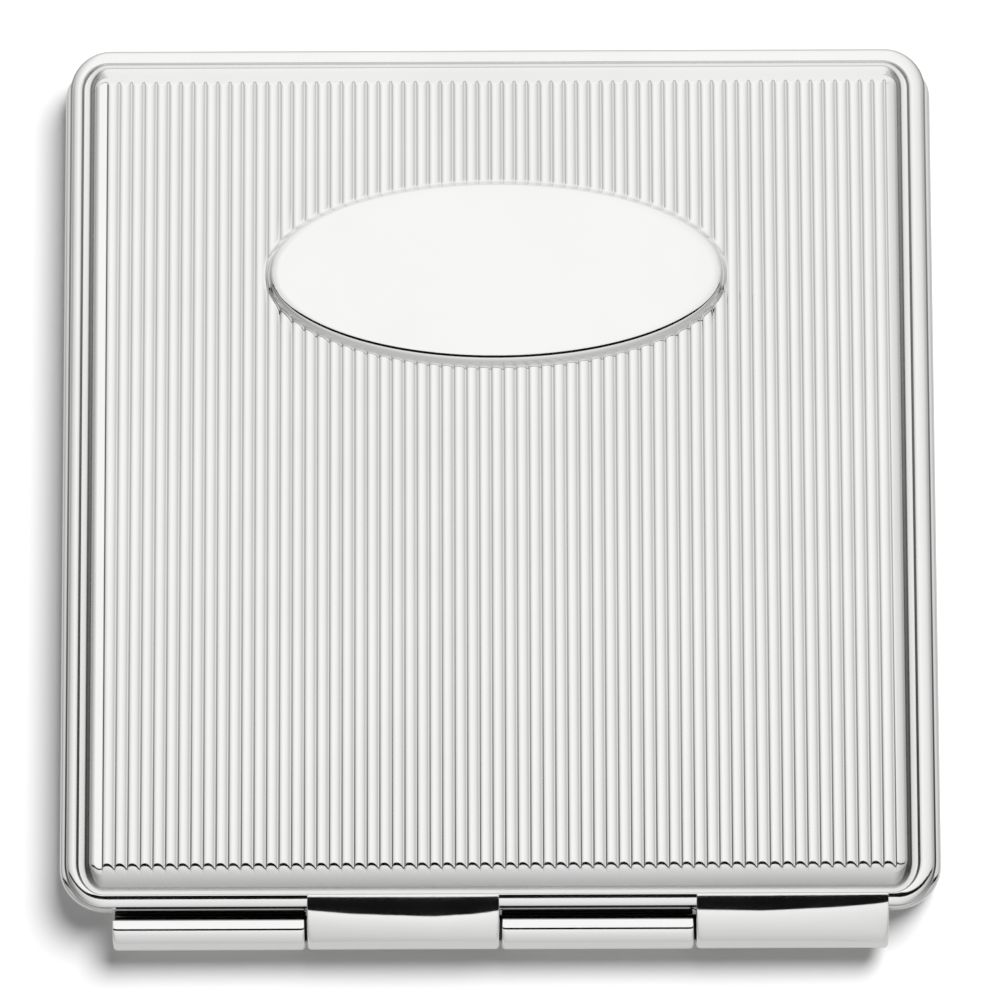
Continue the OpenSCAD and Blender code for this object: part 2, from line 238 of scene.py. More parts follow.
SIDE_RIM = np.array((
    (0, 0.4, 3.3, 1), (0.02, 0.33, 3.32, 1), (0.05, 0.31, 3.45, 1), (0.1, 0.3, 3.8, 1),
    (0.16, 0.29, 4.3, 1), (0.2, 0.285, 4.6, 1), (0.24, 0.282, 4.9, 1), (0.27, 0.284, 5.05, 1),
    (0.29, 0.295, 5.14, 1), (0.31, 0.33, 5.21, 1), (0.33, 0.375, 5.28, 1), (0.36, 0.425, 5.355, 1),
    (0.39, 0.455, 5.41, 0.25), (0.42, 0.54, 5.5, 0.03), (0.45, 0.68, 5.57, 0.03),
    (0.48, 0.84, 5.607, 0.03), (0.52, 1.02, 5.625, 0.03), (0.55, 1.15, 5.624, 0.03),
    (0.58, 1.24, 5.61, 0.03), (0.6, 1.3, 5.592, 0.03), (0.62, 1.345, 5.568, 0), (0.64, 1.38, 5.53, 0.1),
    (0.67, 1.41, 5.46, 0.5), (0.7, 1.43, 5.385, 0.7), (0.73, 1.45, 5.315, 0.5), (0.76, 1.475, 5.272, 0.2),
    (0.79, 1.51, 5.255, 0.08), (0.82, 1.57, 5.25, 0.1), (0.88, 1.72, 5.25, 0.14),
    (0.92, 1.86, 5.25, 0.17), (0.95, 1.93, 5.258, 0.38), (0.98, 1.97, 5.285, 0.8), (1, 2.005, 5.35, 1),
))
STATIONS = np.unique(np.concatenate((NEAR_RIM[:, 0], FAR_RIM[:, 0], SIDE_RIM[:, 0])))
# the flank's height over the distance in, on the near side, the far side and the left and right sides
FLANK_IN = np.array((1.16, 1.4, 1.7, 1.95, 2.2, 2.45, 2.7, 2.92, 3.6))
FLANK_UP = np.array((5.352, 5.619, 5.902, 6.098, 6.255, 6.385, 6.4835, 6.558, 6.79))
FAR_IN = np.array((1.44, 1.55, 1.8, 2.1, 2.4, 2.6, 2.75, 2.87, 2.95, 3.6))
FAR_UP = np.array((5.505, 5.56, 5.72, 5.93, 6.145, 6.285, 6.39, 6.465, 6.51, 6.68))
SIDE_IN = np.array((2.005, 2.06, 2.12, 2.2, 2.28, 2.36, 2.44, 2.56, 2.74, 2.93, 3.12, 3.4))
SIDE_UP = np.array((5.35, 5.47, 5.62, 5.84, 6.02, 6.15, 6.23, 6.3, 6.37, 6.425, 6.465, 6.52))
# its loops: distance in on the near side, on the left and right, on the far side; painted shade at the
# sides, at the ends
COARSE_FLANK = (
    (1.24, 2.03, 1.48, 1, 0.38), (1.34, 2.06, 1.57, 1, 0.36), (1.44, 2.09, 1.66, 1, 0.34),
    (1.54, 2.125, 1.75, 1, 0.31), (1.64, 2.16, 1.84, 1, 0.28), (1.74, 2.2, 1.93, 1, 0.25),
    (1.84, 2.245, 2.02, 0.95, 0.22), (1.94, 2.295, 2.11, 0.75, 0.19), (2.04, 2.345, 2.2, 0.45, 0.17),
)
FINE_FLANK = (
    (2.12, 2.4, 2.28, 0.22, 0.15), (2.2, 2.45, 2.36, 0.1, 0.13), (2.28, 2.51, 2.44, 0.04, 0.12),
    (2.35, 2.57, 2.52, 0, 0.1), (2.42, 2.63, 2.59, 0, 0.09), (2.49, 2.69, 2.65, 0, 0.08),
    (2.56, 2.74, 2.71, 0, 0.07), (2.63, 2.79, 2.77, 0, 0.05), (2.7, 2.84, 2.82, 0, 0.04),
    (2.77, 2.89, 2.87, 0, 0.02), (2.84, 2.94, 2.92, 0, 0), (2.9, 2.99, 2.97, 0, 0),
    (2.96, 3.04, 3.02, 0, 0), (3.02, 3.085, 3.06, 0, 0),
)
# the notches in the lip over the other half's knuckles: how far they lift it, their corners' radius, how
# far they reach past the knuckle, and the height above which the wall stays as it is
NOTCH_LIFT, NOTCH_ROUND, NOTCH_CLEAR, NOTCH_TOP = 1.0, 0.4, 0.10, 4.95
# round corners in plan: the outline's radius, and how fast it shrinks with the distance in, at the sides
# and ends
ROUND_SIDE, ROUND_END = (3.30, 0.95), (3.10, 1.02)
# how widely the flanks' corners are eased, and how softly the reeds meet the flanks and the oval
FLANK_EASE, SIDE_EASE = 0.1, 0.08
CREASE, FAR_CREASE, SIDE_SOFT, OVAL_SOFT = 0.16, 0.035, 0.02, 0.05
PANEL_IN_Y, PANEL_IN_X = 3.08, 3.12
CORNER_STEPS = 12
# one reed in section: place across it from the bottom of the groove on its left, depth below its crest
REED_PLACE = np.array((
    0, 0.025, 0.05, 0.08, 0.115, 0.15, 0.2, 0.28, 0.4, 0.52, 0.64, 0.74, 0.83, 0.885, 0.9288,
))
REED_DEEP = np.array((150, 149, 136, 96, 60, 38, 21, 8, 0, 4.5, 21, 47, 92, 132, 150)) / 1000
# where its crest stands
REED_CREST = 0.40
OUTER_GROOVE = REEDS / 2 * PITCH


def eased(x, knots_x, knots_y, width):
    """The broken line through the knots, with its corners eased by averaging it over a short width."""
    shifts = np.linspace(-0.5, 0.5, 9) * width
    return np.mean([np.interp(x + s, knots_x, knots_y) for s in shifts], axis=0)


def side_up(distance_in):
    """Height of the left and right flank."""
    return eased(distance_in, SIDE_IN, SIDE_UP, SIDE_EASE)


def near_up(distance_in):
    """Height of the near flank."""
    return eased(distance_in, FLANK_IN, FLANK_UP, FLANK_EASE)


def far_up(distance_in):
    """Height of the far flank."""
    return eased(distance_in, FAR_IN, FAR_UP, FLANK_EASE)


def reed_height(x):
    """Height of the reeded panel across the reeds. Each reed rises steeply from the groove on its left, is
    nearly flat on top and falls away gently to the groove on its right. The plain strip on the left lies at
    the bottom of the first groove, the one on the right at the reeds' tops."""
    deep = np.interp((x + OUTER_GROOVE) % PITCH, REED_PLACE, REED_DEEP)
    deep = np.where(x > OUTER_GROOVE + REED_CREST, 0.0, deep)
    return CREST - np.where(x < -OUTER_GROOVE, REED_DEEP[0], deep)


def lower_of(a, b, soft):
    """The lower of two heights, with the line where they meet rounded over by soft."""
    blend = np.clip(0.5 + 0.5 * (b - a) / soft, 0, 1)
    return b * (1 - blend) + a * blend - soft * blend * (1 - blend)


OVAL_Y = 16.45 - MIDDLE_Y
OVAL_A, OVAL_B = 16.65, 6.5
# the oval's edge: distance out from the ellipse, height
OVAL_OUT = np.array((
    -9, -0.44, -0.28, -0.14, -0.05, 0.02, 0.09, 0.14, 0.19, 0.25, 0.42, 0.58, 0.66, 0.76, 1.1, 1.4,
))
OVAL_UP = np.array((
    7.15, 7.15, 7.146, 7.131, 7.113, 7.098, 7.0815, 7.068, 7.048, 7.005, 6.78, 6.54, 6.44, 6.33, 6.1, 5.8,
))


def panel_height(x, y):
    """Height of the pressed panel: the reeds, and over them the oval plate, whose edge falls away along a
    rounded shoulder with the distance from the ellipse. The higher of the two shows."""
    radial = np.sqrt((x / OVAL_A) ** 2 + ((y - OVAL_Y) / OVAL_B) ** 2)
    slope = np.sqrt((x / OVAL_A ** 2) ** 2 + ((y - OVAL_Y) / OVAL_B ** 2) ** 2)
    outside = (radial - 1) * radial / np.maximum(slope, 1e-6)
    plate = np.interp(outside, OVAL_OUT, OVAL_UP)
    reeds = reed_height(x)
    return -lower_of(-reeds, -plate, OVAL_SOFT)


def loop_points(half_x, near_y, far_y, round_x, round_near, round_far, xs, ys, steps):
    """A rounded rectangle in plan, from the near left end of the near side round to the left side,
    anticlockwise. xs and ys run from -1 to 1 along the straight parts; each corner is a quarter ellipse.
    The third and fourth numbers are the shares of the near and of the far side's shape in the point, eased
    to 0 round the corners."""
    turn = np.linspace(0, np.pi / 2, steps + 1)[1:-1]
    flat_x, low_y, high_y = half_x - round_x, round_near - near_y, far_y - round_far
    sin, cos = np.sin(turn), np.cos(turn)
    share, none, ones = cos ** 2, np.zeros(len(turn)), np.ones(len(xs))
    middle = np.zeros(len(ys))
    near = np.c_[xs * flat_x, -near_y * ones, ones, 0 * ones]
    near_right = np.c_[flat_x + round_x * sin, low_y - round_near * cos, share, none]
    right = np.c_[half_x + middle, low_y + (ys + 1) / 2 * (high_y - low_y), middle, middle]
    right_far = np.c_[flat_x + round_x * cos, high_y + round_far * sin, none, share[::-1]]
    far = np.c_[xs[::-1] * flat_x, far_y * ones, 0 * ones, ones]
    far_left = np.c_[-flat_x - round_x * sin, high_y + round_far * cos, none, share]
    left = right[::-1] * (-1, 1, 1, 1)
    left_near = np.c_[-flat_x - round_x * cos, low_y - round_near * sin, share[::-1], none]
    return np.vstack((near, near_right, right, right_far, far, far_left, left, left_near))


def loop_places(xs, ys, steps):
    """Where each point of such a loop stands along it: a whole number is the middle of a corner."""
    side_x, side_y = 0.5 + 0.4 * xs, 0.5 + 0.4 * ys
    corner = np.linspace(0.9, 1.1, steps + 1)[1:-1]
    sides = (side_x, 1 + side_y, 2 + side_x, 3 + side_y)
    return np.concatenate([part for turn, side in enumerate(sides) for part in (side, turn + corner)])


def between_loops(first, second):
    """Four-sided faces between two loops with as many points, given as arrays of point numbers."""
    return np.c_[first, np.roll(first, -1), np.roll(second, -1), second]


def zipped(first, first_place, second, second_place):
    """Three-sided faces between two loops whose numbers of points differ. Each edge of the first loop goes
    to the point of the second that stands nearest along the loop, and the second's edges fill the gaps."""
    n, m = len(first), len(second)
    ends = np.append(first_place[1:], first_place[0] + 4)
    middle = (first_place + ends) / 2
    long_places = np.concatenate((second_place, second_place + 4))
    cuts = (long_places[:-1] + long_places[1:]) / 2
    nearest = np.searchsorted(cuts, middle)
    to_second = np.c_[first, np.roll(first, -1), second[nearest % m]]
    start = nearest[0] if nearest[0] < m else nearest[0] - m
    steps = np.arange(start, start + m)
    unrolled = np.where(nearest < start, nearest + m, nearest)
    change = np.searchsorted(unrolled, steps, side="right")
    to_first = np.c_[second[(steps + 1) % m], second[steps % m], first[change % n]]
    return np.vstack((to_second, to_first))


def put_in_mesh(name, points, fours, threes, material, flip=False):
    """One mesh object from points in millimetres and arrays of four-sided and three-sided faces."""
    mesh = bpy.data.meshes.new(name)
    mesh.vertices.add(len(points))
    mesh.vertices.foreach_set("co", (points[:, :3] * MM).astype(np.float32).ravel())
    faces = [f[:, ::-1] if flip else f for f in (fours, threes) if len(f)]
    corners_total = sum(f.size for f in faces)
    mesh.loops.add(corners_total)
    mesh.loops.foreach_set("vertex_index", np.concatenate([f.ravel() for f in faces]).astype(np.int32))
    totals = np.concatenate([np.full(len(f), f.shape[1]) for f in faces]).astype(np.int32)
    mesh.polygons.add(len(totals))
    mesh.polygons.foreach_set("loop_start", np.append(0, np.cumsum(totals)[:-1]).astype(np.int32))
    mesh.polygons.foreach_set("loop_total", totals)
    mesh.polygons.foreach_set("use_smooth", np.ones(len(totals), bool))
    mesh.update(calc_edges=True)
    mesh.validate()
    # a fourth column of the points is stored as painted shade: how dark the surface's colour is painted to
    # stand in for shade and dark reflections
    if points.shape[1] > 3:
        darkness = mesh.attributes.new("painted_shade", "FLOAT", "POINT")
        darkness.data.foreach_set("value", points[:, 3].astype(np.float32))
    mesh.materials.append(material)
    piece = bpy.data.objects.new(name, mesh)
    scene.collection.objects.link(piece)
    return piece


# where the painted shade on a groove's steep wall stands from the groove's bottom, and how wide it is
WALL_PLACE, WALL_WIDE = 0.085, 0.042


def groove_shade(x, y):
    """How dark each groove's steep wall is painted, as painted shade: darker towards the hinge, and in the
    first groove."""
    place = (x + OUTER_GROOVE) % PITCH
    inside = (x > -OUTER_GROOVE - 0.1) & (x < OUTER_GROOVE + 0.3)
    wall = np.exp(-((place - WALL_PLACE) / WALL_WIDE) ** 2)
    along = np.interp(y, (-29.0, -24.0, -16.0, -8.0, 29.0), (1.0, 0.80, 0.45, 0.22, 0.03))
    first = np.interp(x, (-28.8, -28.6), (0.9, 0.0))
    return np.where(inside, wall * np.minimum(along + first, 1.0), 0.0)


# the inside of the sheet: distance in at the ends, at the sides, height
INSIDE = (
    (6.0, 6.0, 5.9), (3.0, 3.3, 5.9), (2.4, 2.75, 5.75), (2.1, 2.5, 5.2), (1.9, 2.4, 4.74),
    (0.75, 1.0, 4.72), (0.55, 0.72, 4.6), (0.5, 0.66, 4.4), (0.5, 0.66, 3.36), (0.46, 0.63, 3.305),
)
# the loops' points along the lip: closer together beside the notches' borders
BY_NOTCH = np.array((-0.45, -0.3, -0.2, -0.1, -0.03, 0.03, 0.1, 0.2, 0.3, 0.45))
COARSE_X, COARSE_Y = 50, 60
FLAT_X = 29.2
# how far in from the near and far edge the flanks still cut the reeds
END_REACH = 4.2
# how strong the painted shade at the ends is next to that at the sides, and the dark dots of painted shade
# at the far ends of the grooves
END_DARK, GROOVE_END_DARK = 0.6, 0.7


def stamping(panel, profile, oval):
    """The whole closed skin of a stamping, worked out as one chain of loops: from the middle of the inside,
    down the inside of the wall, round the lip, up and over the bead, across the valley and up the flank to
    the reeded panel, which is a grid of lines along and across the reeds. The fourth number of a point is
    its painted shade: how dark its colour is painted to stand in for shade and dark reflections."""
    borders = np.array(panel["notches"]).ravel()[:, None]
    borders = (borders + BY_NOTCH).ravel()
    borders = borders[np.abs(borders) < FLAT_X - 0.2] / FLAT_X
    coarse_x = np.unique(np.concatenate((np.linspace(-1, 1, COARSE_X), borders)))
    coarse_y = np.linspace(-1, 1, COARSE_Y)
    points, fours, threes = [], [], []
    count = 0

    def keep(new):
        nonlocal count
        points.append(new)
        numbers = np.arange(count, count + len(new))
        count += len(new)
        return numbers

    def notch_depth(x):
        """1 over the other half's knuckles and 0 beside them, with round corners."""
        inwards = [np.minimum(x - low, high - x) for low, high in panel["notches"]]
        room = np.clip((np.maximum(*inwards) + NOTCH_CLEAR) / NOTCH_ROUND, 0, 1)
        return np.sqrt(1 - (1 - room) ** 2)

    def ring(ins, ups, darks, xs, ys, rounds):
        """One loop, and the share of its near or far side in each point. ins, ups, darks and rounds are
        given for the left and right, the near and the far side."""
        plan = loop_points(HALF - ins[0], HALF - ins[1], HALF - ins[2], *rounds, xs, ys, CORNER_STEPS)
        near, far = plan[:, 2], plan[:, 3]
        side = 1 - near - far
        # the painted shade at the sides is lighter towards the far side
        fade = np.interp(plan[:, 1], (-EDGE_Y, EDGE_Y), (1.0, 0.62))
        up_near = ups[1] * np.ones(len(plan))
        lip = LIP_Z + NOTCH_LIFT * notch_depth(plan[:, 0])
        raised = lip + (up_near - LIP_Z) * (NOTCH_TOP - lip) / (NOTCH_TOP - LIP_Z)
        up_near = np.where(up_near < NOTCH_TOP, raised, up_near)
        z = ups[0] * side + up_near * near + ups[2] * far
        dark = darks[0] * side * fade + darks[1] * near + darks[2] * far
        shift = LID_SHIFT * panel["shift"] * min(max((ins[0] - 0.55) / 0.7, 0), 1)
        return np.c_[plan[:, 0] + shift, plan[:, 1] + MIDDLE_Y, z, dark], near + far

    # inside of the sheet, from its middle outwards and down to the lip
    last = None
    for in_y, in_x, z in INSIDE:
        rounds = max(3.0 - in_x, 0.4), max(3.0 - in_y, 0.4), max(3.0 - in_y, 0.4)
        now = keep(ring((in_x, in_y, in_y), (z, z, z), (0, 0, 0), coarse_x, coarse_y, rounds)[0])
        if last is None:
            centre = keep(np.array(((0.0, MIDDLE_Y, z, 0.0),)))
            threes.append(np.c_[np.full(len(now), centre[0]), np.roll(now, -1), now])
        else:
            fours.append(between_loops(last, now))
        last = now

    # lip, bead, valley and the lower flank
    loops = []
    for station in STATIONS:
        loops.append([[float(np.interp(station, rim[:, 0], rim[:, column])) for rim in profile]
                      for column in (1, 2, 3)])
    for in_y, in_x, in_far, dark_side, dark_end in COARSE_FLANK:
        ups = [float(side_up(in_x)), float(near_up(in_y)), float(far_up(in_far))]
        loops.append([[in_x, in_y, in_far], ups, [dark_side, dark_end * END_DARK, 0.0]])
    for ins, ups, darks in loops:
        least = PANEL_IN_X - ins[0] + 0.02, PANEL_IN_Y - ins[1] + 0.02, PANEL_IN_Y - ins[2] + 0.02
        rounds = (max(ROUND_SIDE[0] - ins[0] * ROUND_SIDE[1], least[0]),
                  max(ROUND_END[0] - max(ins[1], 0) * ROUND_END[1], least[1]),
                  max(ROUND_END[0] - ins[2] * ROUND_END[1], least[2]))
        now = keep(ring(ins, ups, darks, coarse_x, coarse_y, rounds)[0])
        fours.append(between_loops(last, now))
        last = now
    coarse_places = loop_places(coarse_x, coarse_y, CORNER_STEPS)

    # upper flank, where the reeds run out
    columns, lines = panel["columns"], panel["lines"]
    xs, ys = columns / EDGE_X, lines / EDGE_Y
    fine_places = loop_places(xs, ys, CORNER_STEPS)
    for number, (in_y, in_x, in_far, dark_side, dark_end) in enumerate(FINE_FLANK):
        rounds = PANEL_IN_X - in_x, PANEL_IN_Y - in_y, PANEL_IN_Y - in_far
        darks = dark_side, dark_end * END_DARK, 0.0
        made, share = ring((in_x, in_y, in_far), (0, CREST, CREST), darks, xs, ys, rounds)
        flank = np.where(made[:, 1] < 0, float(near_up(in_y)), float(far_up(in_far)))
        reed_x = made[:, 0] - LID_SHIFT * panel["shift"]
        reeds = reed_height(reed_x)
        up_side = lower_of(side_up(in_x) + np.zeros(len(made)), reeds, SIDE_SOFT)
        soft = np.where(made[:, 1] < 0, CREASE, FAR_CREASE)
        made[:, 2] = up_side * (1 - share) + lower_of(flank, reeds, soft) * share
        # painted shade on the grooves' walls where the flank cuts them, and dark dots of painted shade at
        # the far ends of the grooves
        cut = np.clip((flank - reeds) / 0.08, 0, 1)
        made[:, 3] = np.maximum(made[:, 3], share * cut * groove_shade(reed_x, made[:, 1]))
        groove_end = np.exp(-((flank - reeds) / 0.025) ** 2) * (reeds < CREST - 0.07) * (made[:, 1] > 0)
        made[:, 3] = np.maximum(made[:, 3], GROOVE_END_DARK * share * groove_end)
        now = keep(made)
        if number == 0:
            threes.append(zipped(last, coarse_places, now, fine_places))
        else:
            fours.append(between_loops(last, now))
        last = now

    # the panel's grid
    x, y = np.meshgrid(columns, lines)
    if oval:
        bulge = np.sqrt(np.clip(1 - (x / OVAL_A) ** 2, 0, 1)) * OVAL_B
        bulge = np.maximum(bulge, panel["least"])
        y = panel["warp"](y, bulge)
        z = panel_height(x, y)
    else:
        z = reed_height(x)
    # past the end of a flank's table the flank is lifted out of the way
    in_side, in_near, in_far = HALF - np.abs(x), HALF + y, HALF - y
    z = lower_of(side_up(in_side) + (in_side > SIDE_IN[-1]), z, SIDE_SOFT)
    z = np.where(in_near < END_REACH, lower_of(near_up(in_near) + (in_near > FLANK_IN[-1]), z, CREASE), z)
    z = np.where(in_far < END_REACH, lower_of(far_up(in_far) + (in_far > FAR_IN[-1]), z, FAR_CREASE), z)
    # painted shade on the grooves' steep walls, taken off where the oval plate stands above the reeds
    dark = groove_shade(x, y)
    if oval:
        dark = dark * np.clip(1 - (z - reed_height(x)) / 0.06, 0, 1)
    shifted_x, shifted_y = x + LID_SHIFT * panel["shift"], y + MIDDLE_Y
    grid = keep(np.stack((shifted_x, shifted_y, z, dark), -1).reshape(-1, 4)).reshape(x.shape)
    corners = grid[:-1, :-1], grid[:-1, 1:], grid[1:, 1:], grid[1:, :-1]
    fours.append(np.stack(corners, -1).reshape(-1, 4))
    border = np.concatenate((grid[0, :-1], grid[:-1, -1], grid[-1, :0:-1], grid[:0:-1, 0]))
    stand_x, stand_y = 0.5 + 0.4 * xs, 0.5 + 0.4 * ys
    stand_x[0], stand_y[0] = 0.0, 0.0
    border_places = np.concatenate((stand_x[:-1], 1 + stand_y[:-1], 2 + stand_x[:-1], 3 + stand_y[:-1]))
    threes.append(zipped(last, fine_places, border, border_places))
    return np.vstack(points), np.vstack(fours), np.vstack(threes)


def reed_columns(samples, half):
    """Places across the panel: the same samples in every groove and over every reed, and the two edges."""
    starts = (np.arange(-1, REEDS + 1) - REEDS / 2) * PITCH
    places = (starts[:, None] + np.array(samples)[None, :]).ravel()
    places = places[np.abs(places) < half - 0.01]
    return np.concatenate(((-half,), places, (half,)))


FINE_SAMPLES = REED_PLACE[:-1]
EDGE_X, EDGE_Y = HALF - PANEL_IN_X, HALF - PANEL_IN_Y
# the lines across the panel: they follow the oval from just inside its edge to clear of it, and are
# straight beyond
LEAST_BULGE, OVAL_INSIDE, OVAL_CLEAR, STRAIGHT_FROM = 1.6, 0.42, 1.15, 27.5
BY_EDGE = np.array((0.0, 0.12, 0.28, 0.5))
OVAL_LINES = np.array((
    0.42, 0.27, 0.13, 0.02, -0.08, -0.17, -0.25, -0.33, -0.45, -0.56, -0.66, -0.76, -0.9, -1.15,
))
below_oval, above_oval = OVAL_Y - OVAL_B - OVAL_CLEAR - 1.0, OVAL_Y + OVAL_B + OVAL_CLEAR + 1.0
plain_lines = np.concatenate((-EDGE_Y + BY_EDGE, np.linspace(-STRAIGHT_FROM, below_oval, 5)))
far_lines = np.concatenate((np.linspace(above_oval, STRAIGHT_FROM, 2), EDGE_Y - BY_EDGE[::-1]))
oval_near = OVAL_Y - OVAL_B + OVAL_LINES[::-1]
oval_far = OVAL_Y + OVAL_B - OVAL_LINES
oval_middle = OVAL_Y + np.linspace(OVAL_INSIDE - OVAL_B, OVAL_B - OVAL_INSIDE, 6)[1:-1]
lid_lines = np.concatenate((plain_lines, oval_near, oval_middle, oval_far, far_lines))


def oval_warp(y, bulge):
    """Moves the grid's lines so that those by the oval's edge follow it: inside the oval they close up
    towards its long axis, beside its edge they keep their distance from it, and further out they spread
    back to straight."""
    from_axis = y - OVAL_Y
    gap = np.abs(from_axis) - OVAL_B
    sign = np.sign(from_axis)
    inner = np.clip(np.abs(from_axis) / (OVAL_B - OVAL_INSIDE), 0, 1) * (bulge - OVAL_INSIDE)
    near_edge = bulge + gap
    reach = np.where(from_axis < 0, OVAL_Y - OVAL_B + EDGE_Y, EDGE_Y - OVAL_Y - OVAL_B)
    outer_share = np.clip((gap - OVAL_CLEAR) / (reach - OVAL_CLEAR), 0, 1)
    outer = bulge + OVAL_CLEAR + outer_share * (reach + OVAL_B - bulge - OVAL_CLEAR)
    moved = np.where(gap < -OVAL_INSIDE, inner, np.where(gap <= OVAL_CLEAR, near_edge, outer))
    return OVAL_Y + sign * moved


def rubbed_group():
    """The marks of making and handling that every metal and mirror here shows: Cloud is the uneven polish,
    Grain the fine lines of drawing, rolling or wiping, stretched along the given axes."""
    tree = bpy.data.node_groups.new("rubbed surface", "ShaderNodeTree")
    tree.interface.new_socket("Cloud Scale", in_out="INPUT", socket_type="NodeSocketFloat")
    tree.interface.new_socket("Grain Scale", in_out="INPUT", socket_type="NodeSocketFloat")
    tree.interface.new_socket("Stretch", in_out="INPUT", socket_type="NodeSocketVector")
    tree.interface.new_socket("Cloud", in_out="OUTPUT", socket_type="NodeSocketFloat")
    tree.interface.new_socket("Grain", in_out="OUTPUT", socket_type="NodeSocketFloat")
    add = shader_nodes(tree)
    given = add("NodeGroupInput").outputs
    place = add("ShaderNodeTexCoord").outputs["Object"]
    polish = {"Vector": place, "Scale": given["Cloud Scale"], "Detail": 3.0, "Roughness": 0.55}
    cloud = add("ShaderNodeTexNoise", polish).outputs["Fac"]
    drawn_out = add("ShaderNodeVectorMath", {0: place, 1: given["Stretch"]}, operation="MULTIPLY").outputs[0]
    lines = {"Vector": drawn_out, "Scale": given["Grain Scale"], "Detail": 2.0}
    grain = add("ShaderNodeTexNoise", lines).outputs["Fac"]
    add("NodeGroupOutput", {"Cloud": cloud, "Grain": grain})
    return tree


rubbed_surface = rubbed_group()


def rubbed_marks(add, cloud_scale, grain_scale, stretch):
    """Places the group in a material and gives back its two outputs."""
    node = add("ShaderNodeGroup", node_tree=rubbed_surface)
    node.inputs["Cloud Scale"].default_value = cloud_scale
    node.inputs["Grain Scale"].default_value = grain_scale
    node.inputs["Stretch"].default_value = stretch
    return node.outputs["Cloud"], node.outputs["Grain"]


silver, add = new_material("silver plate")
cloud, fine = rubbed_marks(add, 90.0, 2600.0, (1, 1, 1))
rubbed = add("ShaderNodeMapRange", {0: cloud, 1: 0.3, 2: 0.7, 3: 0.035, 4: 0.075}).outputs[0]
grain = add("ShaderNodeBump", {"Strength": 0.06, "Distance": 0.00001, "Height": fine}).outputs[0]
tint = stepped(add, cloud, ((0.35, (0.850, 0.846, 0.838)), (0.65, (0.868, 0.866, 0.862))))
# painted shade: where the stamping's points carry it, the colour is mixed towards near-black and the polish
# dulled, standing in for the shade and dark reflections in grooves, creases, under the lip and inside the
# knuckles
deep = add("ShaderNodeAttribute", attribute_name="painted_shade").outputs["Fac"]
shaded = add("ShaderNodeMix", {0: deep, 6: tint, 7: (0.030, 0.029, 0.027, 1)}, data_type="RGBA").outputs[2]
hazy = add("ShaderNodeMapRange", {0: deep, 1: 0.0, 2: 0.14, 3: 0.0, 4: 1.0}).outputs[0]
dull = add("ShaderNodeMix", {0: hazy, 2: rubbed, 3: 0.24}).outputs[0]
finish = {"Base Color": shaded, "Metallic": 1.0, "Roughness": dull, "Normal": grain}
add("ShaderNodeOutputMaterial", {0: add("ShaderNodeBsdfPrincipled", finish).outputs[0]})

LID_KNUCKLES = ((-14.285, -0.08), (14.445, 28.65))
BASE_KNUCKLES = ((-28.65, -14.445), (0.08, 14.285))
# the top in section: slope in degrees, place out from the edge, share of the turning place's shift
FLOW_SLOPE = np.array((3.5, 5.0, 5.6, 10.7, 15.0, 21.5, 29.0, 37.5, 50.0))
FLOW_BASE = np.array((-0.64, -0.60, -0.56, 0.0, 0.450, 1.056, 1.675, 2.190, 2.68))
FLOW_TURN = np.array((0.0, 0.0, 0.0, 1.0, 0.832, 0.606, 0.375, 0.183, 0.0))
FLOW_TOP = 5.646
FLOW_ROUND = 1.795
# where along the hinge the top turns down early or late
TURN_AT = np.array((-14.3, -11.0, -5.1, -2.0, -0.1, 14.4, 19.5, 24.7, 27.8, 28.65))
TURN_OUT = np.array((0.50, 0.80, 1.03, 0.85, 0.58, 0.55, 0.65, 0.40, 0.13, -0.02))
END_ROUND = 0.30
# the sheet's thickness
SHEET = 0.42
# the curl round the pin: its middle, radius and end in degrees
CURL_MIDDLE = (1.58, 3.25)
CURL_RADIUS = 1.5
CURL_END = 113.0
FLOW_STEPS, ARC_STEPS, CURL_STEPS, ALONG_STEPS = 36, 12, 22, 24
BASE_TURN = 0.6


def knuckle_section(turn):
    """The knuckle's sheet in section, as its outer and inner line, one row for each given turning place: it
    leaves the bead with a slope that grows with the distance, turns down in an arc, and curls back under
    itself round the pin, where it ends in an open edge."""
    rows = np.ones((len(turn), 1))
    slope = np.linspace(FLOW_SLOPE[0], FLOW_SLOPE[-1], FLOW_STEPS)
    out = np.interp(slope, FLOW_SLOPE, FLOW_BASE) + np.interp(slope, FLOW_SLOPE, FLOW_TURN) * turn[:, None]
    slope = np.radians(slope)
    fall = np.cumsum(np.diff(out, axis=1) * np.tan((slope[1:] + slope[:-1]) / 2), axis=1)
    fall = np.hstack((0 * rows, fall))
    steepest = math.radians(FLOW_SLOPE[-1])
    arc = np.linspace(steepest, np.pi / 2, ARC_STEPS)[1:]
    arc_s = FLOW_BASE[-1] + FLOW_ROUND * (np.sin(arc) - math.sin(steepest))
    shoulder = FLOW_TOP - fall[:, -1:]
    arc_z = CURL_MIDDLE[1] + (shoulder - CURL_MIDDLE[1]) * np.cos(arc) / math.cos(steepest)
    curl = np.radians(np.linspace(0, CURL_END, CURL_STEPS))[1:]
    curl_s = CURL_MIDDLE[0] + CURL_RADIUS * np.cos(curl)
    curl_z = CURL_MIDDLE[1] - CURL_RADIUS * np.sin(curl)
    s = np.hstack((out, rows * arc_s, rows * curl_s))
    z = np.hstack((FLOW_TOP - fall, arc_z, rows * curl_z))
    along_s, along_z = np.gradient(s, axis=1), np.gradient(z, axis=1)
    length = np.hypot(along_s, along_z)
    return np.stack((s, z), -1), np.stack((s + SHEET * along_z / length, z - SHEET * along_s / length), -1)


